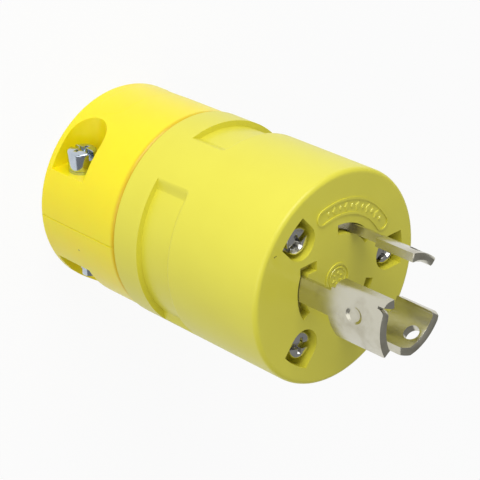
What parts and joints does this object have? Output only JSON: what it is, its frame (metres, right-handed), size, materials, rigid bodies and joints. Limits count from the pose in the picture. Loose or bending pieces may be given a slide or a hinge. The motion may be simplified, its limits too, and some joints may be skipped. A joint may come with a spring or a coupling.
{
  "type": "locking power plug",
  "caption": "Round twist-locking power plug with curved blades, a screwed front housing and a two-piece cord clamp.",
  "frame": {"origin": "centre of the flat cord end, which the plug stands on", "axes": "+Z along the axis towards the blades; the clamp halves part on the XZ plane; the ground blade is on the -X side"},
  "size_m": [0.038, 0.038, 0.0731],
  "materials": {
    "housing": "satin moulded nylon, pale yellow",
    "clamp": "semi-gloss moulded nylon, bright yellow",
    "carrier": "moulded thermoset, off-white",
    "blade": "nickel plated brass strip",
    "steel_zinc": "bright zinc plated steel",
    "brass": "bright brass",
    "green_screw": "green dyed plating"
  },
  "bodies": {
    "root": {"front_housing": "housing", "contact_carrier": "carrier", "ground_blade": "blade", "neutral_blade": "blade", "hot_blade": "blade", "ground_clamp_plate": "steel_zinc", "neutral_clamp_plate": "steel_zinc", "hot_clamp_plate": "brass", "ground_terminal_screw": "green_screw", "neutral_terminal_screw": "steel_zinc", "hot_terminal_screw": "brass", "face_screws": "steel_zinc", "carrier_nuts": "steel_zinc", "clamp_upper": "clamp", "clamp_lower": "clamp", "clamp_screws": "steel_zinc", "clamp_washers": "steel_zinc", "clamp_nuts": "steel_zinc"}
  },
  "joints": []
}
